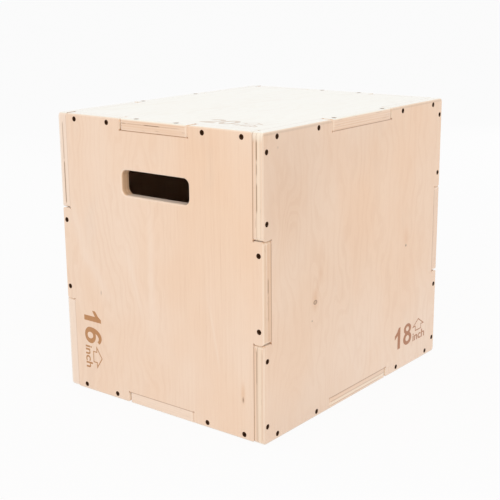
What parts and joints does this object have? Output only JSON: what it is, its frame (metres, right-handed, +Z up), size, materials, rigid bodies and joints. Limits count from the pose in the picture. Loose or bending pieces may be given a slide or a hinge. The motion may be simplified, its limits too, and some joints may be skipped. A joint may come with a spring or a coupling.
{
  "type": "plyometric jump box",
  "caption": "Plywood plyometric box with finger-jointed, screwed panels and hand slots, which gives a different jumping height on each pair of faces.",
  "frame": {"origin": "middle of the underside, where the box stands", "axes": "+Z up; the front panel with its hand slot faces -Y; +Y is the longest side, +X the shortest"},
  "size_m": [0.4064, 0.508, 0.4572],
  "materials": {
    "plywood": "sanded and oiled",
    "black_screw": "black phosphate"
  },
  "bodies": {
    "root": {"front_panel": "plywood", "back_panel": "plywood", "right_panel": "plywood", "left_panel": "plywood", "top_panel": "plywood", "bottom_panel": "plywood", "front_panel_top_screws": "black_screw", "front_panel_bottom_screws": "black_screw", "front_panel_left_screws": "black_screw", "front_panel_right_screws": "black_screw", "back_panel_top_screws": "black_screw", "back_panel_bottom_screws": "black_screw", "back_panel_left_screws": "black_screw", "back_panel_right_screws": "black_screw", "right_panel_top_screws": "black_screw", "right_panel_bottom_screws": "black_screw", "right_panel_front_screws": "black_screw", "right_panel_back_screws": "black_screw", "left_panel_top_screws": "black_screw", "left_panel_bottom_screws": "black_screw", "left_panel_front_screws": "black_screw", "left_panel_back_screws": "black_screw", "top_panel_front_screws": "black_screw", "top_panel_back_screws": "black_screw", "top_panel_left_screws": "black_screw", "top_panel_right_screws": "black_screw", "bottom_panel_front_screws": "black_screw", "bottom_panel_back_screws": "black_screw", "bottom_panel_left_screws": "black_screw", "bottom_panel_right_screws": "black_screw"}
  },
  "joints": []
}
